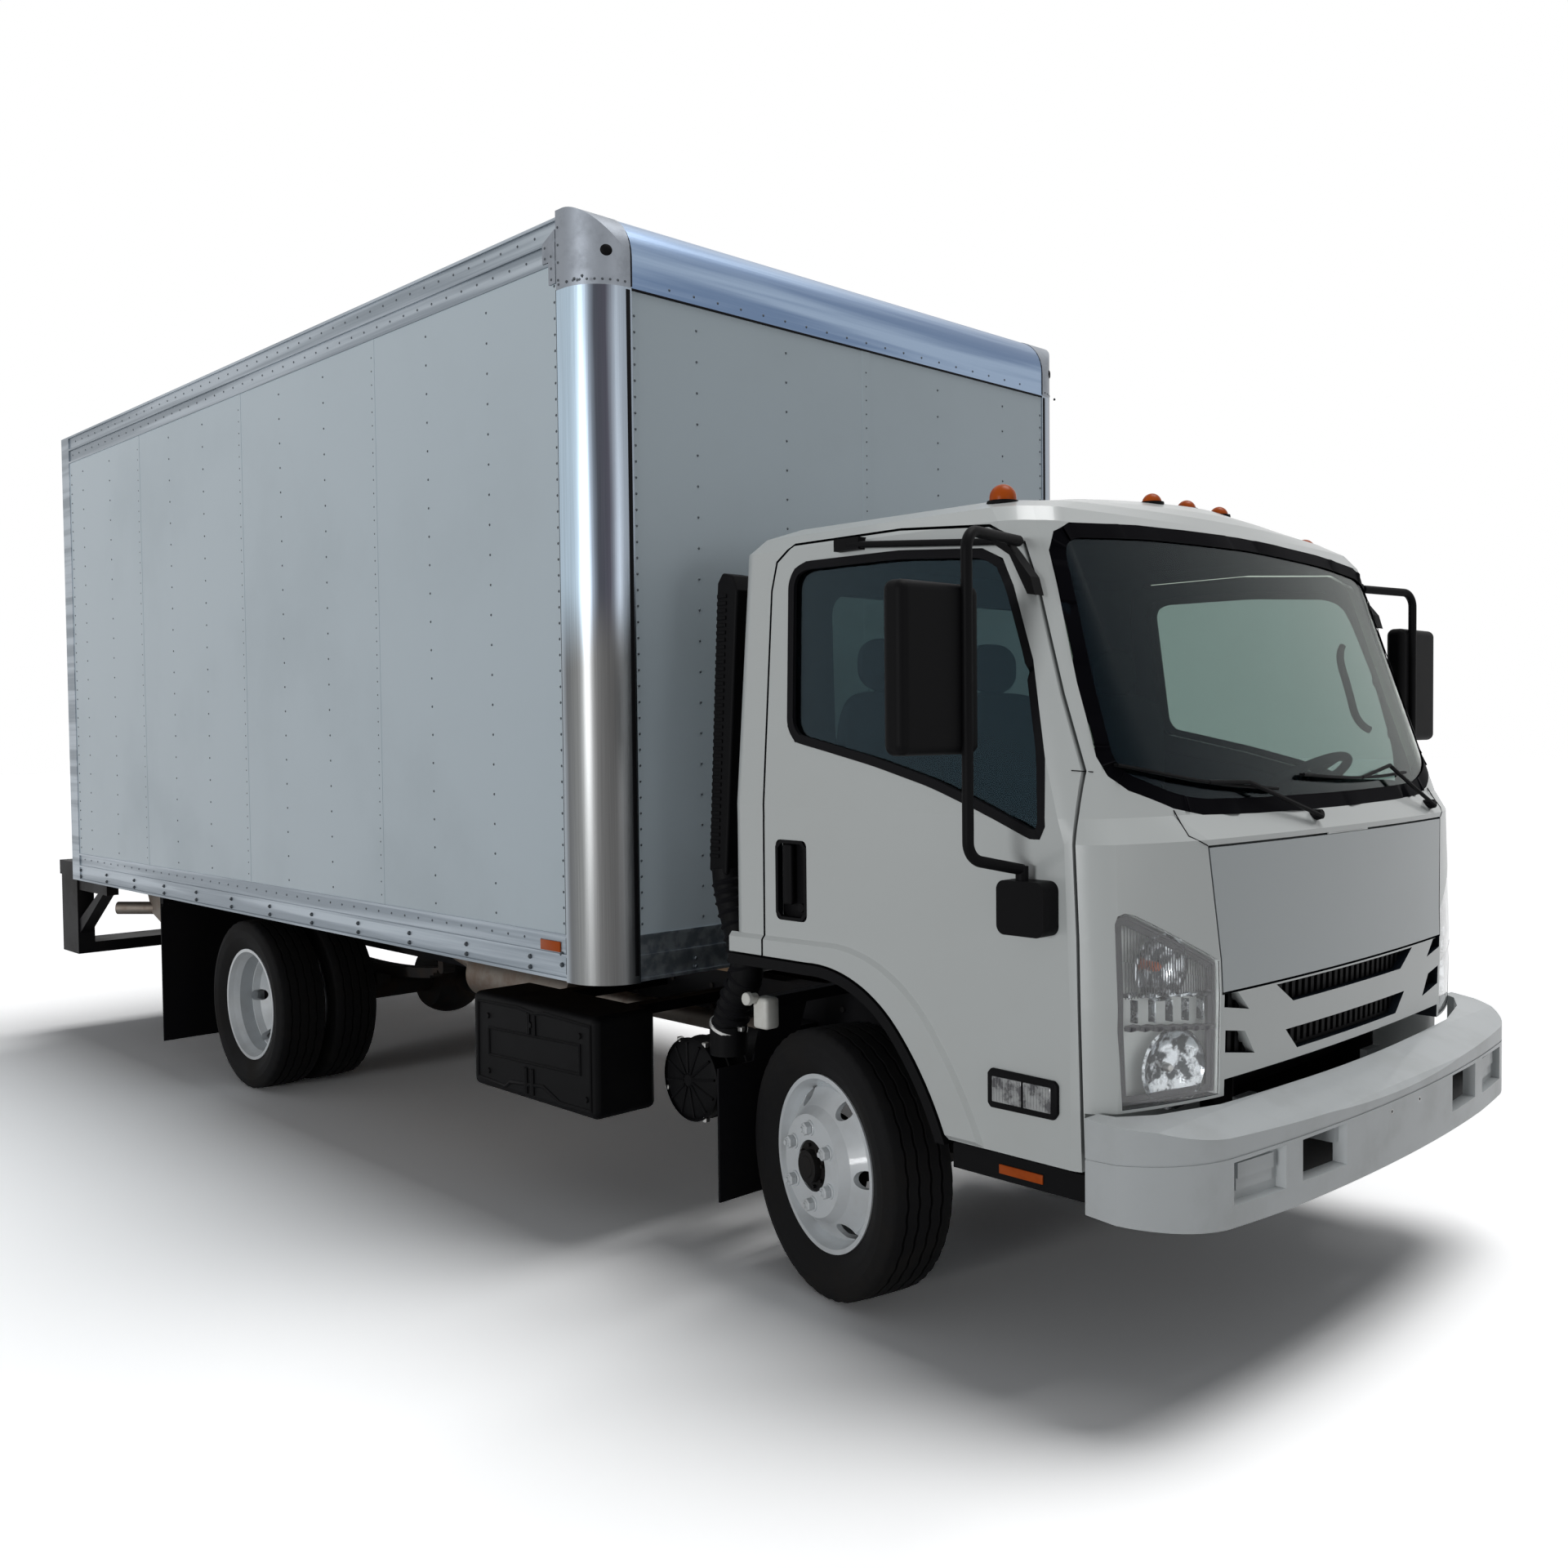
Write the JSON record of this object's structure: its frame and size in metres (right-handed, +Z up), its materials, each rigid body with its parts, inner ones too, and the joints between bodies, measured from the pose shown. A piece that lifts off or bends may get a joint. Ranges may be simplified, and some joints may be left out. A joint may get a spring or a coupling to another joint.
{
  "type": "box truck",
  "caption": "White cab-over box truck with a riveted aluminium van body, dual rear wheels, tilting cab, opening doors and a rear step.",
  "frame": {"origin": "on the ground, under the middle of the bounding box", "axes": "+X forward along the truck, +Y to the truck's left, +Z up"},
  "size_m": [7.325, 2.918, 3.3258],
  "materials": {
    "white_paint": "gloss",
    "body_white": "satin",
    "bare_aluminium": "satin",
    "cast_grey": "satin",
    "frame_black": "satin",
    "step_black": "satin",
    "iron": "matt",
    "wheel_white": "gloss",
    "tyre": "matt",
    "flap_rubber": "matt",
    "black_plastic": "matt",
    "interior": "matt",
    "cloth": "matt",
    "glass": "clear",
    "lamp_clear": "clear",
    "lamp_amber": "gloss",
    "floor_wood": "matt",
    "steel_bare": "satin"
  },
  "bodies": {
    "chassis": {"chassis_frame": "frame_black", "front_axle": "iron", "rear_axle": "iron", "leaf_springs": "iron", "engine_block": "iron", "drive_line": "iron", "exhaust": "steel_bare", "fuel_tank": "frame_black", "battery_cover": "black_plastic", "air_intake": "black_plastic", "mud_flaps": "flap_rubber", "front_bumper": "white_paint", "body_rails": "bare_aluminium", "body_walls": "body_white", "corner_posts": "bare_aluminium", "corner_caps": "cast_grey", "front_top_rail": "bare_aluminium", "roof": "body_white", "load_floor": "floor_wood", "rear_frame": "bare_aluminium", "roll_door": "body_white", "rear_step": "step_black"},
    "cab": {"cab_shell": "white_paint", "cab_glass": "glass", "dashboard": "interior", "seats": "cloth", "arch_lips_and_steps": "black_plastic", "grille": "black_plastic", "headlamps": "lamp_clear", "roof_lamps": "lamp_amber"},
    "door_left_body": {"door_left": "white_paint", "door_glass_left": "glass", "mirror_left": "black_plastic"},
    "door_right_body": {"door_right": "white_paint", "door_glass_right": "glass", "mirror_right": "black_plastic"},
    "lid": {"service_lid": "white_paint"},
    "steer_left": {"knuckle_left": "iron"},
    "steer_right": {"knuckle_right": "iron"},
    "wheel_front_left": {"front_left_tyre": "tyre", "front_left_wheel": "wheel_white", "front_left_hub": "iron"},
    "wheel_front_right": {"front_right_tyre": "tyre", "front_right_wheel": "wheel_white", "front_right_hub": "iron"},
    "wheels_rear_left": {"rear_left_tyres": "tyre", "rear_left_wheels": "wheel_white", "rear_left_hub": "iron"},
    "wheels_rear_right": {"rear_right_tyres": "tyre", "rear_right_wheels": "wheel_white", "rear_right_hub": "iron"}
  },
  "joints": [
    {"name": "cab_tilt", "type": "hinge", "parent": "chassis", "child": "cab", "pos_m": [3.3925, 0, 0.83], "axis": [0, 1, 0], "range_deg": [0, 45]},
    {"name": "door_left_swing", "type": "hinge", "parent": "cab", "child": "door_left_body", "pos_m": [3.3195, 1.033, 0.8], "axis": [0, 0.0414, -0.9991], "range_deg": [0, 70]},
    {"name": "door_right_swing", "type": "hinge", "parent": "cab", "child": "door_right_body", "pos_m": [3.3195, -1.033, 0.8], "axis": [0, 0.0414, 0.9991], "range_deg": [0, 70]},
    {"name": "lid_lift", "type": "hinge", "parent": "cab", "child": "lid", "pos_m": [3.4925, 0, 1.383], "axis": [0, -1, 0], "range_deg": [0, 70]},
    {"name": "steering_left", "type": "hinge", "parent": "chassis", "child": "steer_left", "pos_m": [2.3425, 0.7445, 0.398], "axis": [0, 0, 1], "range_deg": [-23.5, 48.5]},
    {"name": "steering_right", "type": "hinge", "parent": "chassis", "child": "steer_right", "pos_m": [2.3425, -0.7445, 0.398], "axis": [0, 0, 1], "range_deg": [-23.5, 48.5]},
    {"name": "front_left_spin", "type": "hinge", "parent": "steer_left", "child": "wheel_front_left", "pos_m": [2.36155, 0.83041, 0.398], "axis": [0.2164, 0.9763, 0], "continuous": true},
    {"name": "front_right_spin", "type": "hinge", "parent": "steer_right", "child": "wheel_front_right", "pos_m": [2.32345, -0.83041, 0.398], "axis": [0.2164, 0.9763, 0], "continuous": true},
    {"name": "rear_left_spin", "type": "hinge", "parent": "chassis", "child": "wheels_rear_left", "pos_m": [-1.4675, 0.825, 0.398], "axis": [0, 1, 0], "continuous": true},
    {"name": "rear_right_spin", "type": "hinge", "parent": "chassis", "child": "wheels_rear_right", "pos_m": [-1.4675, -0.825, 0.398], "axis": [0, 1, 0], "continuous": true}
  ],
  "couplings": [
    {"joint": "steering_right", "follows": "steering_left", "ratio": 1}
  ]
}
